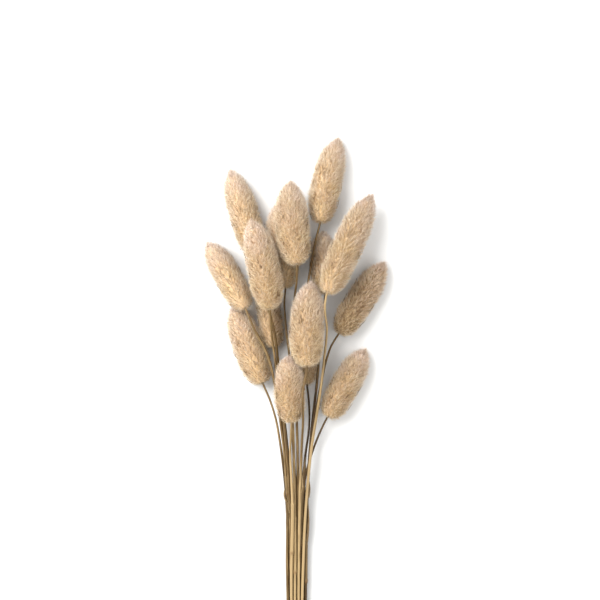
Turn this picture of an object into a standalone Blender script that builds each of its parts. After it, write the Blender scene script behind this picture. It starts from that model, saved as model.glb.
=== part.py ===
"""A cut bunch of dried bunny tail grass, tied round its waist and lying down.

Metres, +Z up. The stems run along Y with the seed heads towards +Y, and the bunch rests on Z = 0.
The origin is on that plane, under the middle of the bunch.
"""
import math
import random

import bmesh
import bpy
import numpy as np
from mathutils import Vector

MM = 0.001

# The flowering stems, in millimetres. base and tip are the ends of a head's axis, and its fluff
# reaches the tip. radius is the head's widest, bow is how far its axis bends sideways halfway up,
# and via is where its stem passes on the way down to the waist.
FLOWERS = (
    {"base": (12.4, 137.3, 12.4), "tip": (22.2, 181.5, 3.4), "radius": 7.9, "bow": 1.2,
     "via": ((9.2, 124.0, 13.5), (7.6, 111.0, 13.6), (5.6, 98.0, 13.2), (2.0, 82.0, 13.2),
             (1.0, 68.0, 11.0), (1.6, 28.0, 9.0))},
    {"base": (-19.0, 119.8, 13.9), "tip": (-33.5, 165.6, 2.8), "radius": 7.8, "bow": 0.0,
     "via": ((-16.0, 104.0, 16.4), (-11.2, 86.0, 16.4), (-9.2, 70.5, 13.0), (-7.4, 52.0, 9.0),
             (-4.6, 28.0, 7.5))},
    {"base": (-12.7, 93.9, 25.4), "tip": (-22.4, 138.9, 26.2), "radius": 8.3, "bow": -1.4,
     "via": ((-12.2, 86.0, 22.5), (-10.6, 72.0, 16.5), (-8.6, 58.0, 11.2), (-5.0, 28.0, 9.8))},
    {"base": (0.8, 116.0, 25.0), "tip": (-2.4, 158.9, 16.0), "radius": 8.6, "bow": 1.0,
     "via": ((0.8, 109.0, 23.6), (-0.4, 96.0, 14.0), (-0.6, 80.0, 12.2), (-1.0, 58.0, 10.6),
             (-0.6, 28.0, 10.4))},
    {"base": (-5.1, 104.2, 8.4), "tip": (-8.7, 148.9, 6.2), "radius": 8.0, "bow": 0.4,
     "via": ((-7.1, 94.5, 8.4), (-6.0, 83.0, 8.6), (-4.4, 71.5, 8.2), (-3.4, 50.0, 7.4),
             (-1.8, 28.0, 6.6))},
    {"base": (15.6, 101.9, 26.0), "tip": (39.1, 152.7, 10.0), "radius": 8.1, "bow": 0.5,
     "via": ((13.4, 78.5, 18.6), (11.2, 53.5, 14.0), (7.2, 24.0, 11.0))},
    {"base": (15.1, 101.5, 9.2), "tip": (13.8, 134.1, 3.8), "radius": 7.3, "bow": 0.3,
     "via": ((13.3, 93.0, 11.0), (12.6, 81.0, 13.2), (11.4, 64.0, 11.8), (7.6, 28.0, 8.4))},
    {"base": (21.8, 81.6, 9.4), "tip": (45.7, 118.4, 5.0), "radius": 7.7, "bow": 0.0,
     "via": ((17.8, 75.0, 9.2), (15.6, 68.0, 9.0), (13.2, 56.0, 8.8), (8.8, 28.0, 6.6))},
    {"base": (-25.0, 94.2, 16.4), "tip": (-45.5, 128.4, 2.8), "radius": 7.3, "bow": -0.6,
     "via": ((-21.8, 86.0, 15.4), (-17.2, 78.0, 15.6), (-13.0, 64.0, 13.0), (-9.4, 46.0, 9.6),
             (-6.6, 28.0, 8.2))},
    {"base": (-16.5, 56.5, 9.4), "tip": (-31.6, 96.9, 5.6), "radius": 8.3, "bow": 0.2,
     "via": ((-13.6, 50.0, 9.4), (-9.8, 38.0, 7.6), (-8.0, 28.0, 6.4))},
    {"base": (-10.9, 74.6, 7.2), "tip": (-14.8, 107.7, 6.2), "radius": 6.6, "bow": 0.3,
     "via": ((-9.6, 56.0, 6.6), (-5.6, 28.0, 5.2))},
    {"base": (5.9, 65.6, 24.8), "tip": (8.0, 108.5, 19.6), "radius": 8.8, "bow": 1.2,
     "via": ((3.4, 54.0, 25.0), (3.2, 43.0, 23.6), (2.6, 28.0, 18.4), (1.8, 0.0, 11.6))},
    {"base": (-2.1, 37.6, 18.4), "tip": (-3.5, 71.6, 20.8), "radius": 7.7, "bow": 0.2,
     "via": ((-2.6, 24.0, 14.8), (-1.4, 0.0, 10.8))},
    {"base": (16.1, 39.6, 9.2), "tip": (35.9, 74.6, 5.2), "radius": 7.8, "bow": 0.0,
     "via": ((10.8, 28.5, 9.4), (6.4, 16.0, 9.0))},
    {"base": (5.8, 55.9, 7.0), "tip": (6.6, 94.0, 6.4), "radius": 6.4, "bow": 0.3,
     "via": ((7.6, 42.0, 6.4), (5.8, 28.0, 5.4))},
)

# The head's outline, from base to tip: widest at WIDEST of its length, and on each side of that
# (1 - distance ** power) ** roundness, with the distance running from 0 there to 1 at the end.
WIDEST = 0.4
BASE_POWER, BASE_ROUNDNESS = 3.0, 0.38
TIP_POWER, TIP_ROUNDNESS = 3.4, 1.0
# Spikelets stand round and along each head. Their points reach the outline and lean to the tip by
# a share of a row, and the shares below are how much they differ. ROW_EASE sets the rows closer at
# both ends of the head, and the END values keep the outermost rows off its poles, in rows.
SPIKELETS_ROUND = 18
ROW_LENGTH = 2.0 * MM
ROW_EASE = 0.35
POINT_REACH = 0.98
REACH_JITTER = 0.03
VALLEY_REACH = 0.77
POINT_LEAN = 0.75
POINT_JITTER = 0.16
BASE_END, TIP_END = 0.3, 0.2

# Stems, from the cut end to the head. Past the waist they spread again to SPLAY times as wide.
# Their rings stand on every STEM_STRIDE-th plane of y, and clear of the joint's rings and the ends.
STEM_RADIUS = 0.7 * MM
STEM_TOP_RADIUS = 0.5 * MM
STEM_TAPER = 75 * MM
STEM_SIDES_RESOLUTION = 1
STEM_STEP = 5 * MM
STEM_STRIDE = 3
RING_CLEAR, CUT_CLEAR, TOP_CLEAR = 2 * MM, 4 * MM, 3 * MM
CUT_Y, HIGHEST_Y = -180 * MM, 140 * MM
CUT_UNEVEN = 5 * MM
SPLAY = 2.1
HEAD_GAP = 0.3 * MM
TOP_RISE = 0.4

# Each stem's joint, in the flowers' order: its y, and the length of the dry leaf sheath that wraps
# the stem above it, both in millimetres. The sheath's top edge stands a little open.
JOINTS = (
    (-105.0, 30.0), (-34.0, 26.0), (-112.0, 34.0), (-39.0, 28.0), (-122.0, 40.0),
    (-100.0, 28.0), (-44.0, 30.0), (-12.0, 14.0), (0.5, 9.0), (-130.0, 36.0),
    (-108.0, 32.0), (-116.0, 38.0), (-29.0, 25.0), (-25.0, 30.0), (-138.0, 40.0),
)
JOINT_SWELL = 0.32 * MM
JOINT_HALF = 1.5 * MM
SHEATH_WRAP = 0.1 * MM
SHEATH_FLARE = 0.24 * MM
SHEATH_EDGE = 0.8 * MM

# The waist, where the tie holds the stems side by side in rows, from the lowest up.
WAIST_Y = -62 * MM
WAIST_X = 0.6 * MM
WAIST_ROWS = (5, 6, 4)
WAIST_PITCH = 2 * STEM_RADIUS + 0.35 * MM
HELD_LENGTH = 11 * MM

# The tie: turns of twine wound side by side, with their ends tucked under.
TWINE_RADIUS = 0.7 * MM
TWINE_TURNS = 4
TIE_GAP = 0.3 * MM
TIE_BEVEL = 0.06 * MM
TIE_STEPS_ROUND = 30

# How far apart settling lays the stems from each other, from the heads and from the floor. A
# stem's last TOP_HELD under its head hardly moves.
STEM_SPACE = 0.55 * MM
HEAD_SPACE = 0.7 * MM
FLOOR_SPACE = 0.05 * MM
TOP_HELD = 12 * MM
SETTLE_ROUNDS = 260
BALLS_PER_HEAD = 24

COLOURS = {
    "fluff": ((0.72, 0.56, 0.36), 0.95),
    "straw": ((0.66, 0.48, 0.24), 0.7),
    "twine": ((0.45, 0.33, 0.19), 0.95),
}


def clear_scene():
    """Removes whatever the open file holds."""
    for leftover in list(bpy.data.objects):
        bpy.data.objects.remove(leftover)


def make_material(name):
    """A Principled material with the part's colour and roughness."""
    colour, roughness = COLOURS[name]
    material = bpy.data.materials.new(name)
    material.use_nodes = True
    shader = material.node_tree.nodes["Principled BSDF"]
    shader.inputs["Base Color"].default_value = (*colour, 1.0)
    shader.inputs["Roughness"].default_value = roughness
    shader.inputs["Metallic"].default_value = 0.0
    return material


def head_axis(flower, t):
    """Points on a head's axis at t, from 0 at its base to 1 at its tip, bowed sideways."""
    base = np.array(flower["base"]) * MM
    tip = np.array(flower["tip"]) * MM
    along = tip - base
    side = np.array((along[1], -along[0], 0.0))
    side /= np.linalg.norm(side)
    t = np.asarray(t)[..., None]
    return base + along * t - side * flower["bow"] * MM * 4 * t * (1 - t)


def head_radius(flower, t):
    """The head's outline: blunt at its base, full to the middle and drawn to a soft tip."""
    t = np.asarray(t, float)
    low = np.clip((WIDEST - t) / WIDEST, 0.0, 1.0)
    high = np.clip((t - WIDEST) / (1 - WIDEST), 0.0, 1.0)
    outline = (1 - low ** BASE_POWER) ** BASE_ROUNDNESS * (1 - high ** TIP_POWER) ** TIP_ROUNDNESS
    return flower["radius"] * MM * outline


def head_frame(flower, t):
    """The axis point at t and two directions across the axis there."""
    centre = head_axis(flower, t)
    along = head_axis(flower, t + 0.01) - head_axis(flower, t - 0.01)
    along /= np.linalg.norm(along)
    side = np.cross((0.0, 0.0, 1.0), along)
    side /= np.linalg.norm(side)
    return centre, side, np.cross(along, side)


def head_rows(flower):
    """An even number of rows, each about as long as a spikelet."""
    length = np.linalg.norm(np.array(flower["tip"]) - np.array(flower["base"])) * MM
    return 2 * round(length / ROW_LENGTH / 2)


def make_head(flower, number, material):
    """A ball drawn out along the head's axis, with every other vertex raised as a spikelet.

    The object's own origin is at the head's base, where it grows on its stem.
    """
    base = Vector(flower["base"]) * MM
    rows = head_rows(flower)
    draw = random.Random(number)
    mesh = bpy.data.meshes.new(f"head_{number:02d}")
    shape = bmesh.new()
    bmesh.ops.create_uvsphere(shape, u_segments=SPIKELETS_ROUND, v_segments=rows, radius=1.0)
    raised = {}
    for vertex in shape.verts:
        place = spikelet_place(vertex.co, rows)
        raised[vertex] = (place[0] + place[1]) % 2 == 0 and 0 < place[1] < rows
        vertex.co = spikelet_point(flower, rows, place, raised[vertex], draw)
    split_between_valleys(shape, raised)
    bmesh.ops.translate(shape, vec=-base, verts=shape.verts)
    shape.to_mesh(mesh)
    shape.free()
    mesh.shade_smooth()
    mesh.materials.append(material)
    head = bpy.data.objects.new(mesh.name, mesh)
    head.location = base
    return head


def spikelet_place(point, rows):
    """Which column and row of the ball a vertex is in, with row 0 at the base."""
    turn = math.atan2(point.y, point.x) / math.tau - 0.25
    column = round(turn * SPIKELETS_ROUND) % SPIKELETS_ROUND
    row = round((1 - math.acos(max(-1.0, min(1.0, point.z))) / math.pi) * rows)
    return column, row


def spikelet_point(flower, rows, place, is_point, draw):
    """Where the vertex at place goes: on the outline if it is a spikelet's point, else below it."""
    column, row = place
    angle = column
    step = row
    reach = VALLEY_REACH
    if is_point:
        angle += draw.uniform(-POINT_JITTER, POINT_JITTER)
        step += POINT_LEAN + draw.uniform(-POINT_JITTER, POINT_JITTER)
        reach = POINT_REACH - abs(draw.gauss(0.0, REACH_JITTER))
    share = min(step / rows, 1.0)
    t = share - ROW_EASE * math.sin(math.tau * share) / math.tau
    centre, side, up = head_frame(flower, t)
    if 0 < row < rows:
        t = min(max(t, BASE_END / rows), 1 - TIP_END / rows)
        radius = reach * float(head_radius(flower, t))
        turn = math.tau * angle / SPIKELETS_ROUND
        centre = centre + radius * (math.cos(turn) * side + math.sin(turn) * up)
    return Vector((centre[0], centre[1], max(centre[2], 0.0)))


def split_between_valleys(shape, raised):
    """Splits each four-sided face between its two low corners, so each point stays a pyramid."""
    for face in list(shape.faces):
        if len(face.verts) == 4:
            low = [vertex for vertex in face.verts if not raised[vertex]]
            bmesh.utils.face_split(face, low[0], low[1])


def smooth_through(places, values, last_slope):
    """A function of place: cubics that join the values, level in slope, ending at last_slope."""
    places = np.array(places)
    values = np.array(values)
    slopes = np.gradient(values, places, axis=0)
    slopes[-1] = last_slope

    def curve(place):
        index = np.clip(np.searchsorted(places, place) - 1, 0, len(places) - 2)
        width = (places[index + 1] - places[index])[:, None]
        u = ((place - places[index]) / width[:, 0])[:, None]
        start = (1 + 2 * u) * (1 - u) ** 2 * values[index] + u * (1 - u) ** 2 * width * slopes[index]
        end = u * u * (3 - 2 * u) * values[index + 1] + u * u * (u - 1) * width * slopes[index + 1]
        return start + end

    return curve


def waist_slots():
    """Where the stems cross the waist (x, z), row by row, each row set in the hollows below it."""
    rise = WAIST_PITCH * math.sqrt(3) / 2
    slots = []
    for row, count in enumerate(WAIST_ROWS):
        height = STEM_RADIUS + TIE_GAP + 2 * TWINE_RADIUS + row * rise
        for place in range(count):
            slots.append((WAIST_X + (place - (count - 1) / 2) * WAIST_PITCH, height))
    return slots


def share_slots(flowers):
    """Gives each flower a slot: the lowest stems the lowest row, and each row from left to right."""
    by_height = sorted(range(len(flowers)), key=lambda k: flowers[k]["via"][-1][2])
    slots = waist_slots()
    shared = {}
    first = 0
    for count in WAIST_ROWS:
        row = sorted(by_height[first:first + count], key=lambda k: flowers[k]["via"][-1][0])
        shared.update(zip(row, slots[first:first + count]))
        first += count
    return shared


def stem_guide(flower, slot, planes):
    """The stem's (x, z) on each plane of y, from its cut end through the waist to its head."""
    base = np.array(flower["base"]) * MM
    lean = (np.array(flower["tip"]) - np.array(flower["base"]))
    held_low = WAIST_Y - HELD_LENGTH / 2
    held_high = WAIST_Y + HELD_LENGTH / 2
    drop = slot[1] - waist_slots()[0][1]
    cut = (WAIST_X + (slot[0] - WAIST_X) * SPLAY, STEM_RADIUS + 2 * FLOOR_SPACE + drop * SPLAY)
    places = [CUT_Y, held_low, held_high]
    values = [cut, slot, slot]
    for x, y, z in reversed(flower["via"]):
        places.append(y * MM)
        values.append((x * MM, z * MM))
    places.append(base[1])
    values.append((base[0], base[2]))
    end_slope = (lean[0] / lean[1], TOP_RISE * lean[2] / lean[1])
    return smooth_through(places, values, end_slope)(np.minimum(planes, base[1]))


def stem_radius(from_head):
    """The stem's radius that far below its head: thin at first, and full after STEM_TAPER."""
    share = np.clip(from_head / STEM_TAPER, 0.0, 1.0)
    share = share * share * (3 - 2 * share)
    return STEM_TOP_RADIUS + (STEM_RADIUS - STEM_TOP_RADIUS) * share


def joint_swell(sheath):
    """What the joint and its sheath add to the stem's radius: places from the joint, and amounts."""
    places = (-JOINT_HALF, 0.0, JOINT_HALF, 0.6 * sheath, sheath, sheath + SHEATH_EDGE)
    return np.array(places), np.array((0.0, JOINT_SWELL, SHEATH_WRAP, SHEATH_WRAP, SHEATH_FLARE, 0.0))


def head_balls(flowers):
    """Each head as a string of balls that fill its outline: centres, radii and whose they are."""
    t = np.linspace(0.03, 0.97, BALLS_PER_HEAD)
    centres = np.concatenate([head_axis(flower, t) for flower in flowers])
    radii = np.concatenate([head_radius(flower, t) for flower in flowers])
    return centres, radii, np.repeat(np.arange(len(flowers)), len(t))


def settle(flowers, guides, planes):
    """Nudges the stems off each other, off the heads and off the floor, until they lie side by side.

    On every plane of y each stem is a disc at (x, z). Discs that overlap each other or the heads'
    balls are moved apart, and the moves are then smoothed along the stems.
    """
    base_y = np.array([flower["base"][1] for flower in flowers]) * MM
    present = planes[None, :] < base_y[:, None]
    radii = stem_radius(base_y[:, None] - planes[None, :])
    centres, ball_radii, owners = head_balls(flowers)
    depth = planes[:, None] - centres[None, :, 1]
    section = np.sqrt(np.clip((ball_radii + HEAD_SPACE) ** 2 - depth ** 2, 0.0, None))
    held = np.abs(planes - WAIST_Y) <= HELD_LENGTH / 2
    loose = np.clip((base_y[:, None] - planes[None, :]) / TOP_HELD, 0.0, 1.0)
    loose = loose * np.clip(np.abs(planes - WAIST_Y) / HELD_LENGTH - 0.5, 0.0, 1.0)[None, :]
    places = guides.copy()
    pairs = [(a, b) for a in range(len(flowers)) for b in range(a + 1, len(flowers))]
    for _ in range(SETTLE_ROUNDS):
        for a, b in pairs:
            part_discs(places, radii, present, a, b)
        for k in range(len(flowers)):
            leave_balls(places[k], radii[k], centres, section, owners != k)
        places[..., 1] = np.maximum(places[..., 1], radii + FLOOR_SPACE)
        moved = (places - guides) * loose[..., None]
        moved[:, 1:-1] = 0.5 * moved[:, 1:-1] + 0.25 * (moved[:, :-2] + moved[:, 2:])
        moved[:, held] = 0.0
        places = guides + moved
    return places, radii


def part_discs(places, radii, present, a, b):
    """Moves two stems apart on the planes where they are nearer than their space."""
    gap = places[a] - places[b]
    distance = np.maximum(np.linalg.norm(gap, axis=1), 1e-6)
    lack = radii[a] + radii[b] + STEM_SPACE - distance
    push = np.where((lack > 0) & present[a] & present[b], lack / 2, 0.0)[:, None]
    places[a] += gap / distance[:, None] * push
    places[b] -= gap / distance[:, None] * push


def leave_balls(place, radius, centres, section, others):
    """Moves one stem out of the balls that the other heads are made of."""
    gap = place[:, None, :] - centres[None, :, [0, 2]]
    distance = np.maximum(np.linalg.norm(gap, axis=2), 1e-6)
    lack = np.where((section > 0) & others[None, :], section + radius[:, None] - distance, 0.0)
    worst = lack.argmax(axis=1)
    rows = np.arange(len(place))
    push = np.clip(lack[rows, worst], 0.0, None) / distance[rows, worst]
    place += gap[rows, worst] * push[:, None]


def stem_line(flower, number, planes, place, radii):
    """The stem's points and radii: its cut end, every few planes, its joint, and its top."""
    base = np.array(flower["base"]) * MM
    tip = np.array(flower["tip"]) * MM
    top = base - (tip - base) / np.linalg.norm(tip - base) * HEAD_GAP
    cut = CUT_Y + random.Random(number).uniform(0.0, CUT_UNEVEN)
    joint, sheath = np.array(JOINTS[number]) * MM
    swell_at, swell = joint_swell(sheath)
    inside = np.flatnonzero((planes > cut + CUT_CLEAR) & (planes < top[1] - TOP_CLEAR))
    kept = planes[np.append(inside[:-1:STEM_STRIDE], inside[-1])]
    clear = np.abs(kept[:, None] - joint - swell_at[None, :]).min(axis=1) > RING_CLEAR
    along = np.sort(np.concatenate(((cut,), kept[clear], joint + swell_at)))
    widths = np.interp(along, planes, radii) + np.interp(along - joint, swell_at, swell)
    points = np.stack((np.interp(along, planes, place[:, 0]), along,
                       np.interp(along, planes, place[:, 1])), axis=1)
    return [*points, top], [*widths, STEM_TOP_RADIUS]


def make_stem(points, radii, number, material):
    """A tapering tube along the stem's points."""
    curve = bpy.data.curves.new(f"stem_{number:02d}", "CURVE")
    curve.dimensions = "3D"
    curve.bevel_depth = 1.0
    curve.bevel_resolution = STEM_SIDES_RESOLUTION
    curve.use_fill_caps = True
    line = curve.splines.new("POLY")
    line.points.add(len(points) - 1)
    for point, place, radius in zip(line.points, points, radii):
        point.co = (*place, 1.0)
        point.radius = radius
    line.use_smooth = True
    curve.materials.append(material)
    return bpy.data.objects.new(curve.name, curve)


def around_slots(slots, offset, steps):
    """Points round the outermost slots, offset from them: the way a tight thread would run."""
    slots = np.array(slots)
    turns = np.arange(steps) / steps * math.tau
    outward = np.stack((np.cos(turns), np.sin(turns)), axis=1)
    reach = outward @ slots.T
    return slots[reach.argmax(axis=1)] + outward * offset


def make_tie(material):
    """A band round the waist, ridged like turns of twine that lie side by side."""
    inner = STEM_RADIUS + TIE_GAP
    half = TWINE_RADIUS * TWINE_TURNS
    places = np.linspace(-half, half, 2 * TWINE_TURNS + 1)
    heights = np.where(np.arange(len(places)) % 2 == 1, 2 * TWINE_RADIUS, TWINE_RADIUS)
    profile = [(-half + TIE_BEVEL, inner), *zip(places, inner + heights), (half - TIE_BEVEL, inner)]
    shape = bmesh.new()
    rings = []
    for along, offset in profile:
        round_points = around_slots(waist_slots(), offset, TIE_STEPS_ROUND)
        rings.append([shape.verts.new((x, along, z)) for x, z in round_points])
    for ring, following in zip(rings, rings[1:] + rings[:1]):
        for k in range(TIE_STEPS_ROUND):
            after = (k + 1) % TIE_STEPS_ROUND
            shape.faces.new((ring[k], ring[after], following[after], following[k]))
    bmesh.ops.recalc_face_normals(shape, faces=shape.faces)
    mesh = bpy.data.meshes.new("tie")
    shape.to_mesh(mesh)
    shape.free()
    mesh.shade_smooth()
    mesh.materials.append(material)
    tie = bpy.data.objects.new("tie", mesh)
    tie.location.y = WAIST_Y
    return tie


def build():
    """Makes every head, its stem and the tie, in one collection and on one parent."""
    clear_scene()
    collection = bpy.data.collections.new("bunny_tail_bunch")
    bpy.context.scene.collection.children.link(collection)
    fluff = make_material("fluff")
    straw = make_material("straw")
    pieces = [make_tie(make_material("twine"))]
    planes = np.arange(CUT_Y, HIGHEST_Y, STEM_STEP)
    shared = share_slots(FLOWERS)
    guides = np.array([stem_guide(f, shared[k], planes) for k, f in enumerate(FLOWERS)])
    places, radii = settle(FLOWERS, guides, planes)
    for k, flower in enumerate(FLOWERS):
        points, widths = stem_line(flower, k, planes, places[k], radii[k])
        pieces.append(make_head(flower, k + 1, fluff))
        pieces.append(make_stem(points, widths, k + 1, straw))
    bunch = bpy.data.objects.new("bunch", None)
    collection.objects.link(bunch)
    for piece in pieces:
        piece.parent = bunch
        collection.objects.link(piece)


build()
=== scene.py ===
# %% [markdown]
# # A bunch of dried bunny tail grass
# The real thing is a handful of grass stems, each with one soft egg-shaped head, dried until the
# green has gone to cream and straw. The bunch lies on a table and is seen from above.
# The solids already hold the size and the place of every head, stem and of the twine. Here each
# one gets the surface that the eye expects: hairs on the heads, grain on the stems, ply in the twine.

# %% Load the solids as a fixed frame
import math

import bmesh
import bpy
import numpy as np
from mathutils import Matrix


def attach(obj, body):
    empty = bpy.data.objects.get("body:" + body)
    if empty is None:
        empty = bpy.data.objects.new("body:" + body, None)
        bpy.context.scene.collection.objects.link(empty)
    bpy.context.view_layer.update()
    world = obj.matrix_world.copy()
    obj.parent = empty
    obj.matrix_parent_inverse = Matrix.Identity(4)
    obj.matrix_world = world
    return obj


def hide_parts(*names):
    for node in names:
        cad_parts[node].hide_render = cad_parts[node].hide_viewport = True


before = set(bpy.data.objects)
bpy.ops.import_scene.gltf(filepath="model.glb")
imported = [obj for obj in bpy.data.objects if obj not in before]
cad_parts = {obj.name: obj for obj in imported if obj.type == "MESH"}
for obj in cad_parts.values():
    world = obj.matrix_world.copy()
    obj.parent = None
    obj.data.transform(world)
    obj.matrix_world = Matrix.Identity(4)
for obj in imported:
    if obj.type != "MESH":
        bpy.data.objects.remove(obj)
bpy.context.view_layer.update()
MM = 0.001

# %% [markdown]
# ## Camera
# The photograph looks straight at the bunch, so with the bunch lying down the camera looks straight
# down. A long lens from 85 cm away keeps the heads from growing towards the frame's edge.

# %% Hang the camera over the bunch
VIEW_CENTRE = (2.25 * MM, 98.5 * MM)
VIEW_WIDTH = 300 * MM
LENS, FILM = 100.0, 36.0
MIDDLE_HEIGHT = 15 * MM
NEAREST_SEEN = 50 * MM

camera = bpy.data.objects.new("camera", bpy.data.cameras.new("camera"))
camera.data.lens = LENS
camera.data.sensor_width = FILM
camera.data.clip_start = NEAREST_SEEN
camera.location = (*VIEW_CENTRE, MIDDLE_HEIGHT + VIEW_WIDTH * LENS / FILM)
bpy.context.scene.collection.objects.link(camera)
bpy.context.scene.camera = camera
print("camera height", round(camera.location.z, 3), "m")

# %% [markdown]
# ## Floor
# The real bunch lies on a table. A wooden top would draw the eye and colour the shadows, so the floor
# is a plain, nearly white sheet, and the straw colours stand by themselves. It lies a hair's width
# under the lowest solid, so that no two faces fight for the same place.

# %% Lay the floor
FLOOR_SIZE, FLOOR_BELOW = 4.0, 0.2 * MM
FLOOR_COLOUR = (0.8, 0.8, 0.79)


def new_material(name, roughness):
    """A material with its node tree and its one shader, which every finish here starts from."""
    material = bpy.data.materials.new(name)
    material.use_nodes = True
    shader = material.node_tree.nodes["Principled BSDF"]
    shader.inputs["Roughness"].default_value = roughness
    return material, material.node_tree, shader


floor_white, _, floor_shader = new_material("floor_white", 0.9)
floor_shader.inputs["Base Color"].default_value = (*FLOOR_COLOUR, 1.0)
half = FLOOR_SIZE / 2
floor_mesh = bpy.data.meshes.new("floor")
floor_mesh.from_pydata([(-half, -half, 0), (half, -half, 0), (half, half, 0), (-half, half, 0)], [],
                       [(0, 1, 2, 3)])
floor = bpy.data.objects.new("floor", floor_mesh)
floor.location.z = -FLOOR_BELOW
floor.data.materials.append(floor_white)
bpy.context.scene.collection.objects.link(floor)
print("floor:", FLOOR_SIZE, "m wide")

# %% [markdown]
# ## Light
# The photograph's heads are bright on their left and browner on their right, with soft edges between.
# A lamp can be a point, a sun or a lit square. A point or a sun throws a hard shadow behind every
# hair and turns the fluff to wire. So the main light is a lit square as wide as a window, up to the
# left. A weak reflector on the right and a white world stand for the walls of a bright room.

# %% Hang the lights
# Each light's place, the width of its square, both in metres, and its power in watts.
LIGHTS = {
    "window": ((-0.55, 0.45, 0.9), 0.75, 17.5),
    "reflector": ((0.8, -0.1, 0.7), 0.9, 2.2),
}
ROOM_STRENGTH = 0.99


def area_light(name, place, size, power):
    """A square soft light at place that looks at the middle of the heads."""
    lamp = bpy.data.objects.new(name, bpy.data.lights.new(name, "AREA"))
    lamp.data.size = size
    lamp.data.energy = power
    lamp.location = place
    aim = np.array((*VIEW_CENTRE, 0.0)) - np.array(place)
    lamp.rotation_euler = (math.atan2(math.hypot(aim[0], aim[1]), -aim[2]), 0.0,
                           math.atan2(aim[1], aim[0]) - math.pi / 2)
    bpy.context.scene.collection.objects.link(lamp)


for title, (place, size, power) in LIGHTS.items():
    area_light(title, place, size, power)
world = bpy.data.worlds.new("room")
world.use_nodes = True
world.node_tree.nodes["Background"].inputs["Color"].default_value = (1.0, 1.0, 1.0, 1.0)
world.node_tree.nodes["Background"].inputs["Strength"].default_value = ROOM_STRENGTH
bpy.context.scene.world = world
bpy.context.scene.view_settings.view_transform = "Standard"

# %% [markdown]
# ## Meshes from arrays
# Every piece below is worked out as whole numpy arrays: corners, triangles, and a few numbers at each
# corner that say where on the piece it is. The materials read those numbers, so a colour can follow
# a hair from root to tip. Adding corners one by one would take minutes, so a helper hands each whole
# array to the mesh at once.

# %% A piece from its arrays


def new_piece(name, corners, triangles, values, node, slot, material):
    """Puts corners (n, 3) and triangles (m, 3) into a mesh, with one attribute for each of values.

    The piece takes the place of the solid called node and rides on the bunch's one body.
    """
    mesh = bpy.data.meshes.new(name)
    mesh.vertices.add(len(corners))
    mesh.vertices.foreach_set("co", np.ascontiguousarray(corners, np.float32).ravel())
    mesh.loops.add(3 * len(triangles))
    mesh.loops.foreach_set("vertex_index", np.ascontiguousarray(triangles, np.int32).ravel())
    mesh.polygons.add(len(triangles))
    mesh.polygons.foreach_set("loop_start", np.arange(0, 3 * len(triangles), 3, dtype=np.int32))
    mesh.update(calc_edges=True)
    for title, numbers in values.items():
        numbers = np.asarray(numbers, np.float32)
        kind, field = ("FLOAT", "value") if numbers.ndim == 1 else ("FLOAT_VECTOR", "vector")
        mesh.attributes.new(title, kind, "POINT").data.foreach_set(field, numbers.ravel())
    mesh.shade_smooth()
    mesh.materials.append(material)
    piece = bpy.data.objects.new(name, mesh)
    bpy.context.scene.collection.objects.link(piece)
    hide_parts(node)
    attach(piece, "root")
    return piece


def joined(parts):
    """Several (corners, triangles, values) as one, with each part's triangles counted on."""
    counts = np.cumsum([0] + [len(part[0]) for part in parts[:-1]])
    corners = np.concatenate([part[0] for part in parts])
    triangles = np.concatenate([part[1] + first for part, first in zip(parts, counts)])
    values = {title: np.concatenate([part[2][title] for part in parts]) for title in parts[0][2]}
    return corners, triangles, values


print("helpers:", new_piece.__name__, joined.__name__)

# %% Directions and turns


def unit(vectors):
    """Vectors scaled to length 1."""
    return vectors / np.maximum(np.linalg.norm(vectors, axis=-1, keepdims=True), 1e-12)


def even_turns(count):
    """The angles of count equal steps round a circle, in radians."""
    return np.arange(count) / count * math.tau


def round_ways(side, up, turn):
    """cos(turn) side + sin(turn) up, for each row of side and up and for each turn."""
    return (np.cos(turn)[None, :, None] * side[:, None, :]
            + np.sin(turn)[None, :, None] * up[:, None, :])


east, high = np.array(((1.0, 0.0, 0.0),)), np.array(((0.0, 0.0, 1.0),))
print("four ways round a stem:", np.round(round_ways(east, high, even_turns(4))[0]).astype(int).tolist())

# %% [markdown]
# ## Hairs
# A hair could be a curve with a bevel, but a bunch needs about two hundred thousand of them. Real ones
# bend a little, yet each is only about 3 mm long, so a straight one does. The cheapest closed solid
# that tapers to a point is then a three-sided spike of four triangles. All the spikes of one kind on
# a head are made at once.

# %% Spikes from roots to points
SPIKE_SIDES = 3
SPIKE_FACES = np.array(((0, 1, 3), (1, 2, 3), (2, 0, 3), (0, 2, 1)))


def spikes(root, point, half_width):
    """A three-sided spike from each row of root (n, 3) to the same row of point.

    Corners 0 to 2 stand half_width from the root, 120 degrees apart in the plane square to the
    spike. Corner 3 is its point. The last of its triangles closes the root.
    """
    along = unit(point - root)
    steep = np.abs(along[:, 2:]) > 0.8
    reference = np.where(steep, (1.0, 0.0, 0.0), (0.0, 0.0, 1.0))
    side = unit(np.cross(along, reference))
    ways = round_ways(side, np.cross(along, side), even_turns(SPIKE_SIDES))
    ring = root[:, None] + ways * half_width
    corners = np.concatenate((ring, point[:, None]), axis=1)
    first = np.arange(len(root)) * corners.shape[1]
    return corners.reshape(-1, 3), (SPIKE_FACES + first[:, None, None]).reshape(-1, 3)


def at_corners(values):
    """Each spike's value at its root, once for each corner there, and then the one at its point."""
    return np.repeat(values, (SPIKE_SIDES, 1), axis=1).ravel()


one_hair = spikes(np.zeros((1, 3)), np.array(((0.0, 0.0, 1.0),)), 0.1)
print("triangles in a hair:", len(one_hair[1]))

# %% [markdown]
# ## The heads' outline
# A head is grown on a line that is a little bowed. Its fluff is blunt at the base, fullest below the
# middle and drawn in to a soft tip. The solids follow the same line and the same formula, so the
# numbers for each head are repeated here.

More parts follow.
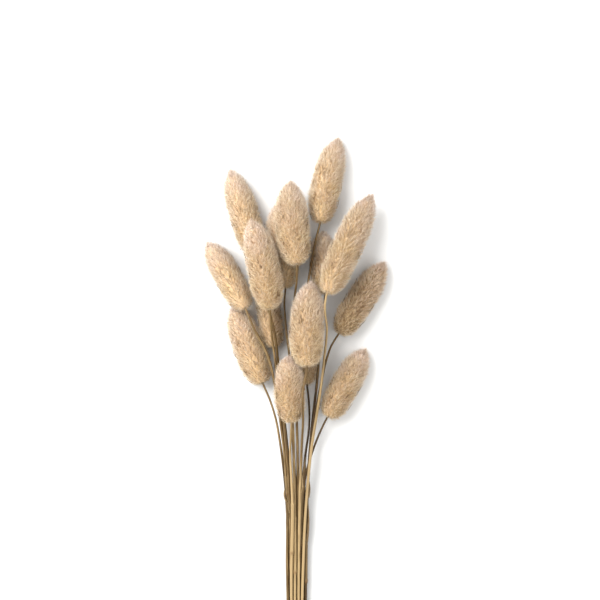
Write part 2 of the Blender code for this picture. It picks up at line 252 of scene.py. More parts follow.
# %% Each head's numbers
# base, tip and radius in millimetres, and the bow of the line between them. The last number is how
# much paler than the rest the head is, and below 0 how much browner: partly its own dried colour,
# partly painted light and shade that brightens heads sitting in shadow and darkens others.
HEADS = [dict(zip(("base", "tip", "radius", "bow", "tone_and_shade"), row)) for row in (
    ((12.4, 137.3, 12.4), (22.2, 181.5, 3.4), 7.9, 1.2, 0.3),
    ((-19.0, 119.8, 13.9), (-33.5, 165.6, 2.8), 7.8, 0.0, 0.4),
    ((-12.7, 93.9, 25.4), (-22.4, 138.9, 26.2), 8.3, -1.4, 0.0),
    ((0.8, 116.0, 25.0), (-2.4, 158.9, 16.0), 8.6, 1.0, 0.05),
    ((-5.1, 104.2, 8.4), (-8.7, 148.9, 6.2), 8.0, 0.4, 0.5),
    ((15.6, 101.9, 26.0), (39.1, 152.7, 10.0), 8.1, 0.5, 0.1),
    ((15.1, 101.5, 9.2), (13.8, 134.1, 3.8), 7.3, 0.3, 0.5),
    ((21.8, 81.6, 9.4), (45.7, 118.4, 5.0), 7.7, 0.0, -0.5),
    ((-25.0, 94.2, 16.4), (-45.5, 128.4, 2.8), 7.3, -0.6, 0.5),
    ((-16.5, 56.5, 9.4), (-31.6, 96.9, 5.6), 8.3, 0.2, 0.3),
    ((-10.9, 74.6, 7.2), (-14.8, 107.7, 6.2), 6.6, 0.3, 0.1),
    ((5.9, 65.6, 24.8), (8.0, 108.5, 19.6), 8.8, 1.2, 0.1),
    ((-2.1, 37.6, 18.4), (-3.5, 71.6, 20.8), 7.7, 0.2, 0.0),
    ((16.1, 39.6, 9.2), (35.9, 74.6, 5.2), 7.8, 0.0, 0.0),
    ((5.8, 55.9, 7.0), (6.6, 94.0, 6.4), 6.4, 0.3, 0.0),
)]
print("heads:", len(HEADS), "widest", 2 * max(head["radius"] for head in HEADS), "mm")

# %% The line and the outline
WIDEST = 0.4
BASE_POWER, BASE_ROUNDNESS = 3.0, 0.38
TIP_POWER, TIP_ROUNDNESS = 3.4, 1.0


def head_axis(head, t):
    """base + (tip - base) t, moved sideways by bow * 4t(1 - t)."""
    base = np.array(head["base"]) * MM
    along = np.array(head["tip"]) * MM - base
    side = unit(np.array((along[1], -along[0], 0.0)))
    t = np.asarray(t)[..., None]
    return base + along * t - side * head["bow"] * MM * 4 * t * (1 - t)


def head_radius(head, t):
    """The widest radius times (1 - low^3)^0.38 times (1 - high^3.4).

    low runs from 0 at the widest place to 1 at the base, and high from 0 there to 1 at the tip.
    """
    low = np.clip((WIDEST - t) / WIDEST, 0.0, 1.0)
    high = np.clip((t - WIDEST) / (1 - WIDEST), 0.0, 1.0)
    outline = (1 - low ** BASE_POWER) ** BASE_ROUNDNESS * (1 - high ** TIP_POWER) ** TIP_ROUNDNESS
    return head["radius"] * MM * outline


def head_frame(head, t):
    """The line's point at t, its direction there, and two directions square to it."""
    along = unit(head_axis(head, t + 0.01) - head_axis(head, t - 0.01))
    side = unit(np.cross((0.0, 0.0, 1.0), along))
    return head_axis(head, t), along, side, np.cross(along, side)


def head_length(head):
    """From base to tip, in metres."""
    return np.linalg.norm(np.array(head["tip"]) - np.array(head["base"])) * MM


print("longest head:", round(max(head_length(head) for head in HEADS) / MM, 1), "mm")

# %% [markdown]
# ## Where the fluff grows
# The fluff of this grass is made of feathers: every spikelet sends up thin bristles, and each bristle
# has fine hairs on all sides that point to the tip. They overlap like thatch. Hairs strewn at random
# would look like a brush, so plumes are set round the head in a spiral, as they grow. Each is a
# bristle that leaves the core and comes out at the outline, and the hairs start from the bristles.
# Round the blunt base the plumes fan outwards. At the tip they run together and stand closer, because
# the core would show between them there.
# Where a head lies on the table its hairs are pressed flat, so heights near the floor are squeezed.

# %% Places up the outline
OUTLINE_PLACES = 400
TIP_DENSITY = 3.0
FLOOR_SQUEEZE = 0.6 * MM


def pressed(corners):
    """Heights under FLOOR_SQUEEZE run down towards 0 but never reach it: h exp((z - h) / h)."""
    z = corners[:, 2]
    low = z < FLOOR_SQUEEZE
    corners[low, 2] = FLOOR_SQUEEZE * np.exp((z[low] - FLOOR_SQUEEZE) / FLOOR_SQUEEZE)
    return corners


def outline_table(head):
    """Stations up the outline: t, distance out, the outline's run and rise, and the area so far.

    Where the outline closes towards the tip, area counts up to TIP_DENSITY times, as the hairs there
    are seen more end-on and have to stand closer.
    """
    t = 0.5 - 0.5 * np.cos(np.linspace(0.0, math.pi, OUTLINE_PLACES))
    out = head_radius(head, t)
    run, rise = np.gradient(t) * head_length(head), np.gradient(out)
    step = np.hypot(run, rise)
    dense = 1 + (TIP_DENSITY - 1) * np.clip(-rise / step, 0.0, 1.0)
    return t, out, run / step, rise / step, np.cumsum(math.tau * out * step * dense)


def fluff_area(head):
    """The whole area of the outline in square millimetres, with the tip counted denser."""
    return outline_table(head)[-1][-1] / MM ** 2


print("area for the fluff:", round(sum(fluff_area(head) for head in HEADS)), "mm2")

# %% Plumes in a spiral
# A pair is the least and the most. Lifts are degrees off the surface, depths are under the outline.
GOLDEN_TURN = math.pi * (3 - math.sqrt(5))
PLUMES_PER_AREA = 0.96
PLUME_LENGTH, LENGTH_SHARES = 3.8 * MM, (0.8, 1.15)
PLUME_LIFT, PLUME_DEPTH = (40.0, 70.0), (0.1 * MM, 1.1 * MM)
PLUME_BOW = 0.25 * MM
SPIRAL_SCATTER, WAY_SCATTER = 0.12, 0.08


def grow_plumes(head, count, length, depth, draw, lift=PLUME_LIFT, zone=(0.0, 1.0)):
    """Count plumes, even over the zone of the head's surface, each a golden turn on from the last.

    end is the outline's point less a depth. way is the outline's own direction to the tip, lifted
    by lift degrees. Past the widest place the outline closes, and there the way is the line's.
    """
    t, out, run, rise, area = outline_table(head)
    order = (np.arange(count) + draw.uniform(0.2, 0.8, count)) / count
    order = (zone[0] + (zone[1] - zone[0]) * order) * area[-1]
    t, out, run, rise = (np.interp(order, area, column)[:, None] for column in (t, out, run, rise))
    turn = (GOLDEN_TURN * np.arange(count) + draw.normal(0.0, SPIRAL_SCATTER, count))[:, None]
    centre, along, side, up = head_frame(head, t[:, 0])
    outward = np.cos(turn) * side + np.sin(turn) * up
    normal = unit(run * outward - rise * along)
    lie = unit(run * along + np.maximum(rise, 0.0) * outward)
    angle = np.radians(draw.uniform(*lift, (count, 1)))
    way = np.sin(angle) * normal + np.cos(angle) * lie
    way = unit(way + draw.normal(0.0, WAY_SCATTER, (count, 3)))
    across = unit(np.cross(way, normal))
    return {
        "end": centre + out * outward - normal * draw.uniform(*depth, (count, 1)),
        "way": way, "across": across, "above": np.cross(across, way),
        "length": length * draw.uniform(*LENGTH_SHARES, (count, 1)),
        "height": t, "tuft_and_shade": draw.uniform(0.1, 0.9, (count, 1)),
        "tone_and_shade": np.full((count, 1), head["tone_and_shade"]),
    }


def plume_points(plume, s):
    """end - way * length (1 - s), bowed outwards by PLUME_BOW 4s(1 - s), at shares s."""
    back = (plume["length"] * (1.0 - s))[..., None]
    bow = (4 * PLUME_BOW * s * (1.0 - s))[..., None]
    return plume["end"][:, None] - back * plume["way"][:, None] + bow * plume["above"][:, None]


print("plumes on the first head:", round(PLUMES_PER_AREA * fluff_area(HEADS[0])))

# %% [markdown]
# ## Bristles and hairs
# A plume is one bristle with a few hairs off it, like a feather's shaft and barbs. Hair curves would
# be quicker to comb, but they have no faces of their own and are lost when the meshes are passed on,
# so every bristle and hair is a spike. Each corner carries four numbers: reach, which runs from 0 at
# the roots to 1 at the ends, the height on the head, the tuft's own shade, partly painted shade, and
# the head's tone, partly painted light and shade.

# %% Make bristles
BRISTLE_HALF_WIDTH, BRISTLE_REACH = 0.09 * MM, (0.3, 0.9)


def spike_values(count, reach, height, tuft_and_shade, tone_and_shade):
    """The corner numbers that the fluff's material reads, each for root and point or one for both."""
    named = {"reach": reach, "height": height, "tuft_and_shade": tuft_and_shade, "tone_and_shade": tone_and_shade}
    return {name: at_corners(np.broadcast_to(values, (count, 2))) for name, values in named.items()}


def make_bristles(plume, half_width, reach=BRISTLE_REACH):
    """One spike up the middle of each plume, with its reach at the root and at the point."""
    root = plume["end"] - plume["length"] * plume["way"]
    corners, triangles = spikes(root, plume["end"], half_width)
    values = spike_values(len(root), reach, plume["height"], plume["tuft_and_shade"], plume["tone_and_shade"])
    return pressed(corners), triangles, values


ten_plumes = grow_plumes(HEADS[0], 10, PLUME_LENGTH, PLUME_DEPTH, np.random.default_rng(0))
print("triangles in ten bristles:", len(make_bristles(ten_plumes, BRISTLE_HALF_WIDTH)[1]))

# %% Make hairs
HAIRS_PER_PLUME = 5
HAIR_HALF_WIDTH = 0.09 * MM
HAIR_LENGTH, HAIR_SHARES, HAIR_SHORTENING = 2.9 * MM, (0.6, 1.2), 0.4
HAIR_SPREAD = (2.0, 28.0)
FIRST_HAIR, HAIRY_SHARE = 0.32, 0.66
UNDERSIDE = 0.5
HAIR_SHADE_SCATTER = 0.36


def make_hairs(plume, draw):
    """Straight hairs off each bristle, turned from it by HAIR_SPREAD degrees and shorter further out.

    A hair goes cos(spread) along the plume's way and sin(spread) away from it. Away points round the
    bristle's outer half, and UNDERSIDE radians past it. Its reach is 0.22 + 0.5 s at its root and 0.3
    more at its end.
    """
    count = len(plume["end"])
    grid = np.arange(HAIRS_PER_PLUME)[None, :] + draw.uniform(0.0, 1.0, (count, HAIRS_PER_PLUME))
    s = FIRST_HAIR + HAIRY_SHARE * grid / HAIRS_PER_PLUME
    root = plume_points(plume, s)
    spread = np.radians(draw.uniform(*HAIR_SPREAD, s.shape))[..., None]
    around = draw.uniform(-UNDERSIDE, math.pi + UNDERSIDE, s.shape)[..., None]
    away = np.cos(around) * plume["across"][:, None] + np.sin(around) * plume["above"][:, None]
    length = HAIR_LENGTH * (1.0 - HAIR_SHORTENING * s) * draw.uniform(*HAIR_SHARES, s.shape)
    length = length[..., None]
    point = root + length * (np.cos(spread) * plume["way"][:, None] + np.sin(spread) * away)
    corners, triangles = spikes(root.reshape(-1, 3), point.reshape(-1, 3), HAIR_HALF_WIDTH)
    reach = 0.22 + 0.5 * s.reshape(-1, 1) + np.array((0.0, 0.3))[None, :]
    tuft_and_shade, height, tone_and_shade = (np.repeat(plume[name], HAIRS_PER_PLUME, axis=0)
                          for name in ("tuft_and_shade", "height", "tone_and_shade"))
    tuft_and_shade = tuft_and_shade + draw.normal(0.0, HAIR_SHADE_SCATTER, tuft_and_shade.shape)
    return pressed(corners), triangles, spike_values(len(tuft_and_shade), reach, height, tuft_and_shade, tone_and_shade)


print("hairs on the first head:", HAIRS_PER_PLUME * round(PLUMES_PER_AREA * fluff_area(HEADS[0])))

# %% [markdown]
# ## Husks
# Short brown husk tips show through the fluff in small groups, low and in the middle of the head.
# Painted spots would lie on the hairs like dirt, so the husks are thin spikes of their own. Round
# each group the plumes stand back, and painted shade makes them browner where the fluff has parted.

# %% Make husks
HUSK_GROUPS, HUSKS_PER_GROUP = 14, 8
HUSK_LENGTH, HUSK_SHARES = 2.4 * MM, (0.6, 1.1)
HUSK_HALF_WIDTH, HUSK_REACH = 0.17 * MM, (0.0, 0.1)
HUSK_DEPTH, HUSK_LIFT = (-0.1 * MM, 0.4 * MM), (2.0, 7.0)
HUSK_ZONE = (0.08, 0.6)
HUSKS_ASIDE, HUSKS_AHEAD, HUSK_TURN = 0.6 * MM, 1.4 * MM, 0.22
# The last of these is painted shade on the plumes round each group of husks.
PARTED_WIDTH, PARTED_DEPTH, PARTED_PAINTED_SHADE = 1.9 * MM, 1.6 * MM, 0.6


def grow_husks(head, draw):
    """The places of small groups of husk tips, low and in the middle of the head."""
    return grow_plumes(head, HUSK_GROUPS, HUSK_LENGTH, HUSK_DEPTH, draw, HUSK_LIFT, HUSK_ZONE)


def part_plumes(plume, group):
    """Where husks show, plumes stand back and get painted shade, by a share exp(-(distance / width)^2).

    Distances along the head count half, so each parting is twice as long as it is wide.
    """
    apart = plume["end"][:, None] - group["end"][None]
    ahead = (apart * group["way"][None]).sum(axis=2)
    square = (apart ** 2).sum(axis=2) - 0.75 * ahead ** 2
    parted = np.exp(-square.min(axis=1) / PARTED_WIDTH ** 2)[:, None]
    plume["end"] = plume["end"] - PARTED_DEPTH * parted * plume["way"]
    plume["tuft_and_shade"] = plume["tuft_and_shade"] - PARTED_PAINTED_SHADE * parted
    return plume


def make_husks(group, draw):
    """Thin brown husk tips lying along the head, a few round the place of each group."""
    husk = {name: np.repeat(column, HUSKS_PER_GROUP, axis=0) for name, column in group.items()}
    count = len(husk["end"])
    aside = draw.normal(0.0, HUSKS_ASIDE, (count, 1))
    ahead = draw.normal(0.0, HUSKS_AHEAD, (count, 1))
    husk["end"] = husk["end"] + aside * husk["across"] + ahead * husk["way"]
    way = unit(husk["way"] + draw.normal(0.0, HUSK_TURN, (count, 1)) * husk["across"])
    length = husk["length"] * draw.uniform(*HUSK_SHARES, (count, 1))
    corners, triangles = spikes(husk["end"] - length * way, husk["end"], HUSK_HALF_WIDTH)
    values = spike_values(count, HUSK_REACH, husk["height"], husk["tuft_and_shade"], husk["tone_and_shade"])
    return pressed(corners), triangles, values


print("husks on a head:", HUSK_GROUPS * HUSKS_PER_GROUP)

# %% [markdown]
# ## Core
# Under the plumes is the mass of the spikelets themselves. It only shows between the hairs, so it
# needs no spikelets of its own: one closed surface of revolution round the head's line does, with a
# low ridge for each row of spikelets. Its darker ochre is partly their own colour and partly painted
# shade, the shade that lies deep between the hairs.

# %% Close a tube of rings


def tube_faces(rows, columns):
    """Triangles of a grid of rings, closed round, with a fan to a pole corner at each end."""
    ring = np.arange(columns)
    after = (ring + 1) % columns
    first = columns * np.arange(rows - 1)[:, None]
    lower = np.stack((first + ring, first + after, first + columns + after), axis=-1)
    upper = np.stack((first + ring, first + columns + after, first + columns + ring), axis=-1)
    last = columns * (rows - 1)
    low_pole = np.stack((after, ring, np.full(columns, columns * rows)), axis=-1)
    high_pole = np.stack((last + ring, last + after, np.full(columns, columns * rows + 1)), axis=-1)
    return np.concatenate((lower.reshape(-1, 3), upper.reshape(-1, 3), low_pole, high_pole))


def held_volume(corners, triangles):
    """The volume inside, in mm3: the sum of dot(a, cross(b, c)) / 6. Below 0 the triangles face in."""
    a, b, c = (corners[triangles[:, place]] for place in range(3))
    return round(float((a * np.cross(b, c)).sum()) / 6 / MM ** 3, 2)


print("triangles in a tube of 3 rings of 4 corners:", len(tube_faces(3, 4)))

# %% The core under the fluff
CORE_ROWS, CORE_COLUMNS = 34, 28
CORE_START, CORE_SPAN, CORE_REACH = 0.012, 0.87, 0.7
RIDGE, RIDGES, RIDGE_SPIRAL = 0.05, 9, 60


def make_core(head):
    """Rings at CORE_REACH of the outline, raised by RIDGE cos(9 turn + 60 t), and two poles."""
    t = 0.5 - 0.5 * np.cos(np.linspace(0.0, math.pi, CORE_ROWS))
    t = CORE_START + CORE_SPAN * t
    turn = even_turns(CORE_COLUMNS)
    centre, _, side, up = head_frame(head, t)
    ridge = np.cos(RIDGES * turn[None, :] + RIDGE_SPIRAL * t[:, None])
    radius = CORE_REACH * head_radius(head, t)[:, None] * (1 + RIDGE * ridge)
    rings = centre[:, None, :] + radius[..., None] * round_ways(side, up, turn)
    corners = np.concatenate((rings.reshape(-1, 3), centre[:1], centre[-1:]))
    values = {
        # The core's low reach paints it dark ochre, partly as shade deep between the hairs.
        "reach": np.append(0.25 + 0.08 * ridge.ravel(), (0.2, 0.2)),
        "height": np.append(np.repeat(t, CORE_COLUMNS), (0.0, 1.0)),
        "tuft_and_shade": np.full(len(corners), 0.4),
        "tone_and_shade": np.full(len(corners), head["tone_and_shade"]),
    }
    return pressed(corners), tube_faces(CORE_ROWS, CORE_COLUMNS), values


first_core = make_core(HEADS[0])
print("triangles in a core:", len(first_core[1]), "volume", held_volume(*first_core[:2]), "mm3")

# %% [markdown]
# ## Materials from nodes
# A material is a net of small nodes. Five kinds are enough here: numbers read from the corners, sums
# of them, ramps that turn a number into a colour, mixes and noise. Each is wrapped in a function
# that takes one line to call, so that the finishes below read like recipes.

# %% Ramps and the corners' numbers


def ramp_node(tree, stops):
    """A colour ramp with the given (place, colour) stops."""
    node = tree.nodes.new("ShaderNodeValToRGB")
    ramp = node.color_ramp
    while len(ramp.elements) < len(stops):
        ramp.elements.new(1.0)
    for element, (place, colour) in zip(ramp.elements, stops):
        element.position = place
        element.color = (*colour, 1.0)
    return node


def attribute_node(tree, name):
    """The numbers called name at the piece's corners."""
    node = tree.nodes.new("ShaderNodeAttribute")
    node.attribute_name = name
    return node


print("helpers:", ramp_node.__name__, attribute_node.__name__)

# %% Sums, mixes and noise


def math_node(tree, operation, first, second):
    """One sum of two inputs, each a socket or a number."""
    node = tree.nodes.new("ShaderNodeMath")
    node.operation = operation
    for socket, value in zip(node.inputs, (first, second)):
        if isinstance(value, (int, float)):
            socket.default_value = value
        else:
            tree.links.new(value, socket)
    return node.outputs[0]


def mix_colours(tree, how, share, first, second):
    """Two colours mixed in the given way, by a share from 0 to 1."""
    node = tree.nodes.new("ShaderNodeMix")
    node.data_type = "RGBA"
    node.blend_type = how
    for socket, value in ((node.inputs[0], share), (node.inputs[6], first), (node.inputs[7], second)):
        if isinstance(value, (int, float)):
            socket.default_value = value
        elif isinstance(value, tuple):
            socket.default_value = (*value, 1.0)
        else:
            tree.links.new(value, socket)
    return node.outputs[2]


def noise_node(tree, vector, scale, detail):
    """A noise pattern from a vector."""
    node = tree.nodes.new("ShaderNodeTexNoise")
    node.inputs["Scale"].default_value = scale
    node.inputs["Detail"].default_value = detail
    tree.links.new(vector, node.inputs["Vector"])
    return node.outputs[0]


def toned(tree, colour, factor, stops):
    """A colour multiplied by what a ramp of stops gives for a factor."""
    ramp = ramp_node(tree, stops)
    tree.links.new(factor, ramp.inputs[0])
    return mix_colours(tree, "MULTIPLY", 1.0, colour, ramp.outputs[0])


print("helpers:", [helper.__name__ for helper in (math_node, mix_colours, noise_node, toned)])

# %% [markdown]
# ## Colour of the fluff
# Dried fluff isn't one cream. The hair roots stay ochre, the hairs bleach towards their ends, the tip
# of a head is palest and its lowest third darkest. The darkest foot of the hairs and the core also
# paint the shade in the hollows between the plumes, and the darker tufts partly paint the shade that
# hairs cast on each other. A painted image could hold all that, but it would blur along the hairs. So
# the material reads the numbers at each corner: how far out the hair is, how high on the head, which
# tuft it is in. A sheen stands for the light that a soft pile scatters at its edge.

# %% The fluff's colours
# Each table has places from 0 to 1 and a colour at each. The first is the hair's own colour from its
# root to its end, its dark foot also painted shade between the plumes, and the others multiply it.
HAIR_COLOURS_AND_SHADE = (
    (0.0, (0.18, 0.11, 0.055)),
    (0.35, (0.765, 0.583, 0.40)),
    (0.65, (0.89, 0.735, 0.565)),
    (1.0, (0.95, 0.84, 0.735)),
)
BY_HEIGHT = (
    (0.0, (0.94, 0.92, 0.79)),
    (0.4, (0.96, 0.94, 0.83)),
    (0.75, (1.0, 1.0, 0.98)),
    (1.0, (1.0, 0.995, 1.05)),
)
# The dark end is partly each tuft's own tone and partly painted shade between the hairs and in the
# partings round the husks.
BY_TUFT_AND_SHADE = (
    (0.0, (0.68, 0.58, 0.48)),
    (0.75, (1.0, 1.0, 1.0)),
    (1.0, (1.03, 1.035, 1.04)),
)
PATCHES = ((0.38, (1.0, 0.99, 0.93)), (0.62, (1.0, 0.985, 1.0)))
SPECKLES = ((0.35, (0.87, 0.855, 0.83)), (0.6, (1.03, 1.03, 1.03)))
PATCH_SCALE, SPECKLE_SCALE = 0.13 / MM, 1.3 / MM
print("colours along a hair:", len(HAIR_COLOURS_AND_SHADE))

# %% The fluff's finish
TUFT_SHARE, HEAD_TONE_AND_SHADE_SHARE = 0.25, 0.3


def fluff_material():
    """Ochre roots to cream ends, darker low on the head, each tuft different, with painted shade.

    A corner's place on HAIR_COLOURS_AND_SHADE is reach + TUFT_SHARE (tuft - 0.5) +
    HEAD_TONE_AND_SHADE_SHARE tone.
    """
    material, tree, shader = new_material("fluff", 0.75)
    reach, height, tuft_and_shade, tone_and_shade = (attribute_node(tree, name).outputs["Fac"]
                                 for name in ("reach", "height", "tuft_and_shade", "tone_and_shade"))
    hair = ramp_node(tree, HAIR_COLOURS_AND_SHADE)
    lift = math_node(tree, "MULTIPLY", math_node(tree, "SUBTRACT", tuft_and_shade, 0.5), TUFT_SHARE)
    lift = math_node(tree, "ADD", lift, math_node(tree, "MULTIPLY", tone_and_shade, HEAD_TONE_AND_SHADE_SHARE))
    tree.links.new(math_node(tree, "ADD", reach, lift), hair.inputs[0])
    place = tree.nodes.new("ShaderNodeTexCoord").outputs["Object"]
    colour = toned(tree, hair.outputs[0], height, BY_HEIGHT)
    colour = toned(tree, colour, noise_node(tree, place, PATCH_SCALE, 3.0), PATCHES)
    colour = toned(tree, colour, noise_node(tree, place, SPECKLE_SCALE, 2.0), SPECKLES)
    colour = toned(tree, colour, tuft_and_shade, BY_TUFT_AND_SHADE)
    tree.links.new(colour, shader.inputs["Base Color"])
    shader.inputs["Specular IOR Level"].default_value = 0.3
    shader.inputs["Sheen Weight"].default_value = 0.15
    shader.inputs["Sheen Roughness"].default_value = 0.4
    return material


fluff = fluff_material()
print("fluff:", len(fluff.node_tree.nodes), "nodes")

# %% [markdown]
# ## Whole heads
# A head is one piece, as its solid is, so all that grows on it is joined. Over the plumes comes a
# sparse fuzz of longer, paler hairs that reach a little past the outline. It could be left out, but
# then the plumes would end in a line, and the eye knows fluff by its soft edge.

# %% Make the heads
FUZZ_PER_AREA = 0.6
FUZZ_LENGTH = 5.2 * MM
FUZZ_LIFT, FUZZ_DEPTH = (32.0, 70.0), (-1.5 * MM, -0.1 * MM)
FUZZ_HALF_WIDTH, FUZZ_REACH = 0.9 * BRISTLE_HALF_WIDTH, (0.7, 1.1)


def make_head(head, number):
    """Core, plumes, hairs, stray fuzz and husks of one head, joined in one piece."""
    draw = np.random.default_rng(number)
    area = fluff_area(head)
    husks = grow_husks(head, draw)
    plume = grow_plumes(head, round(PLUMES_PER_AREA * area), PLUME_LENGTH, PLUME_DEPTH, draw)
    plume = part_plumes(plume, husks)
    fuzz = grow_plumes(head, round(FUZZ_PER_AREA * area), FUZZ_LENGTH, FUZZ_DEPTH, draw, FUZZ_LIFT)
    fuzz = part_plumes(fuzz, husks)
    corners, triangles, values = joined((
        make_core(head),
        make_bristles(plume, BRISTLE_HALF_WIDTH),
        make_bristles(fuzz, FUZZ_HALF_WIDTH, FUZZ_REACH),
        make_husks(husks, draw),
        make_hairs(plume, draw),
    ))
    name = f"head_{number:02d}"
    return new_piece("fluff_" + name, corners, triangles, values, name, "fluff", fluff)


heads = [make_head(head, number) for number, head in enumerate(HEADS, 1)]
print("head triangles:", sum(len(piece.data.polygons) for piece in heads))

# %% [markdown]
# ## The stems' lines
# A dried grass stem is a thin straw that bends a little under its head. It could be drawn again by
# eye, but the solids have already settled side by side without touching. So the middles of a solid's
# rings are read off its corners, and a smooth curve is laid through them.

# %% Read the lines off the solids
SOLID_SIDES = 6
RING_APART = 0.4 * MM
MEETING = 0.003 * MM


def solid_line(name):
    """The middles of a stem solid's whole rings of corners, from its cut end to its head.

    The solid comes with its corners split face from face, so the corners that meet are joined first.
    Rings stand more than RING_APART from each other. On straight runs some have lost a corner, and
    those are left out.
    """
    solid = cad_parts[name]
    whole = bmesh.new()
    whole.from_mesh(solid.data)
    whole.transform(solid.matrix_world)
    bmesh.ops.remove_doubles(whole, verts=whole.verts, dist=MEETING)
    corners = np.array([tuple(corner.co) for corner in whole.verts])
    whole.free()
    corners = corners[np.argsort(corners[:, 1])]
    rings = np.split(corners, np.flatnonzero(np.diff(corners[:, 1]) > RING_APART) + 1)
    return np.array([ring.mean(axis=0) for ring in rings if len(ring) == SOLID_SIDES])


stem_lines = [solid_line(f"stem_{number + 1:02d}") for number in range(len(HEADS))]
print("stems:", len(stem_lines), "rings read off the first:", len(stem_lines[0]))

# %% A smooth curve through a line


def lengths_along(line):
    """How far along a line of points each of them is from the first."""
    steps = np.linalg.norm(np.diff(line, axis=0), axis=1)
    return np.concatenate(((0.0,), np.cumsum(steps)))


def smooth_line(line, places):
    """Points at lengths along a line of points: a cubic through each pair, with the slopes shared.

    At a share u of the way, the near point counts (1 + 2u)(1 - u)^2 and the far one u^2 (3 - 2u),
    and their slopes, times the distance between the two, u(1 - u)^2 and u^2 (u - 1).
    """
    length = lengths_along(line)
    slope = np.gradient(line, length, axis=0)
    k = np.clip(np.searchsorted(length, places) - 1, 0, len(length) - 2)
    width = (length[k + 1] - length[k])[:, None]
    u = (places - length[k])[:, None] / width
    start = (1 + 2 * u) * (1 - u) ** 2 * line[k] + u * (1 - u) ** 2 * width * slope[k]
    end = u * u * (3 - 2 * u) * line[k + 1] + u * u * (u - 1) * width * slope[k + 1]
    return start + end


print("longest stem:", round(max(lengths_along(line)[-1] for line in stem_lines) / MM), "mm")

# %% [markdown]
# ## Joints and sheaths
# The straw is hollow and has a swollen joint low down. From the joint a leaf sheath wraps it like a
# rolled sheet of paper, so one edge runs up it as a faint step, and its mouth has dried open and pale.
# A sheath as a piece of its own would have to hang a hair's width off the straw. Here it is in the
# tube's own outline: rings stand closer at the joint and at the mouth, and the radius changes there.

# %% Where a stem's rings stand
# Each stem's joint, in the heads' order: its y, and the length of the sheath above it, in millimetres.
JOINTS = (
    (-105.0, 30.0), (-34.0, 26.0), (-112.0, 34.0), (-39.0, 28.0), (-122.0, 40.0),
    (-100.0, 28.0), (-44.0, 30.0), (-12.0, 14.0), (0.5, 9.0), (-130.0, 36.0),
    (-108.0, 32.0), (-116.0, 38.0), (-29.0, 25.0), (-25.0, 30.0), (-138.0, 40.0),
)
STATION = 3.5 * MM
ROUND_JOINT = np.array((-2.4, -1.6, -1.0, -0.5, 0.0, 0.5, 1.0, 1.6, 2.4)) * MM
ROUND_MOUTH = np.array((-3.0, -2.0, -1.0, -0.3, 0.0, 0.15, 1.0)) * MM
CLEAR_OF_JOINT, CLEAR_OF_MOUTH = 3 * MM, 3.4 * MM


def stem_stations(line, joint, sheath):
    """Lengths for the rings: every STATION, and closer at the joint and at the sheath's mouth."""
    length = lengths_along(line)
    at_joint, at_mouth = np.interp((joint, joint + sheath), line[:, 1], length)
    plain = np.arange(0.0, length[-1], STATION)
    plain = plain[(np.abs(plain - at_joint) > CLEAR_OF_JOINT)
                  & (np.abs(plain - at_mouth) > CLEAR_OF_MOUTH)]
    stations = np.concatenate((plain, at_joint + ROUND_JOINT, at_mouth + ROUND_MOUTH, length[-1:]))
    return np.sort(stations), at_joint, at_mouth


print("rings on the first stem:", len(stem_stations(stem_lines[0], *np.array(JOINTS[0]) * MM)[0]))

# %% How thick a stem is
STEM_SIDES = 12
STEM_RADIUS, STEM_TOP_RADIUS, STEM_TAPER = 0.7 * MM, 0.5 * MM, 75 * MM
JOINT_SWELL, JOINT_HALF = 0.3 * MM, 0.9 * MM
NECK, NECK_HALF, NECK_BELOW = 0.08 * MM, 0.7 * MM, 2.0 * MM
SHEATH_WRAP, SHEATH_FLARE, FLARE_LENGTH = 0.1 * MM, 0.22 * MM, 4 * MM
SHEATH_FOOT, HAIRBREADTH = 0.4 * MM, 0.01 * MM


def stem_radii(stations, total, at_joint, at_mouth, turn):
    """The radius at each station and turn: the straw's taper, its joint, and the rolled sheath.

    The joint adds JOINT_SWELL exp(-(s / 0.9 mm)^2), with a tight neck 2 mm below it. The sheath adds
    its thickness, more towards its outer edge, and flares over its last 4 mm.
    """
    share = np.clip((total - stations) / STEM_TAPER, 0.0, 1.0)
    share = share * share * (3 - 2 * share)
    straw = STEM_TOP_RADIUS + (STEM_RADIUS - STEM_TOP_RADIUS) * share
    from_joint = stations - at_joint
    straw = straw + JOINT_SWELL * np.exp(-(from_joint / JOINT_HALF) ** 2)
    straw = straw - NECK * np.exp(-((from_joint + NECK_BELOW) / NECK_HALF) ** 2)
    wrapped = ((from_joint > SHEATH_FOOT) & (stations <= at_mouth + HAIRBREADTH)).astype(float)
    flare = np.clip((stations - at_mouth + FLARE_LENGTH) / FLARE_LENGTH, 0.0, 1.0) ** 2 * wrapped
    rolled = SHEATH_WRAP * (0.6 + 0.8 * turn[None, :] / math.tau)
    return (straw[:, None] + wrapped[:, None] * rolled
            + flare[:, None] * SHEATH_FLARE * (0.5 + 0.5 * np.cos(turn[None, :])))


print("thickness of a stem:", [round(2 * r / MM, 1) for r in (STEM_TOP_RADIUS, STEM_RADIUS)], "mm")

# %% [markdown]
# ## Sweeping a stem
# A curve with a round bevel would give a stem in one line, but no joint, no sheath and no hollow end.
# So rings are set square to the line at each station. The cut end turns back into the straw through
# two smaller rings, and the top ends inside the head.

# %% Numbers at a stem's corners
HOLLOW_RINGS = ((0.6, 0.9 * MM), (0.72, 0.05 * MM))
GRAIN_LENGTH, JOINT_STAIN = 30 * MM, 1.0 * MM
WAIST_Y, MIDDLE_LAYER, LAYER_APART = -62 * MM, 3.9 * MM, 1.5 * MM
# Where the painted shade on deep stems is full, and where it fades away.
SHADE_FROM, SHADE_FADE, SHADE_TO, ENDS_FADE = 40 * MM, 35 * MM, -60 * MM, 50 * MM
TONE_SCATTER = 0.4


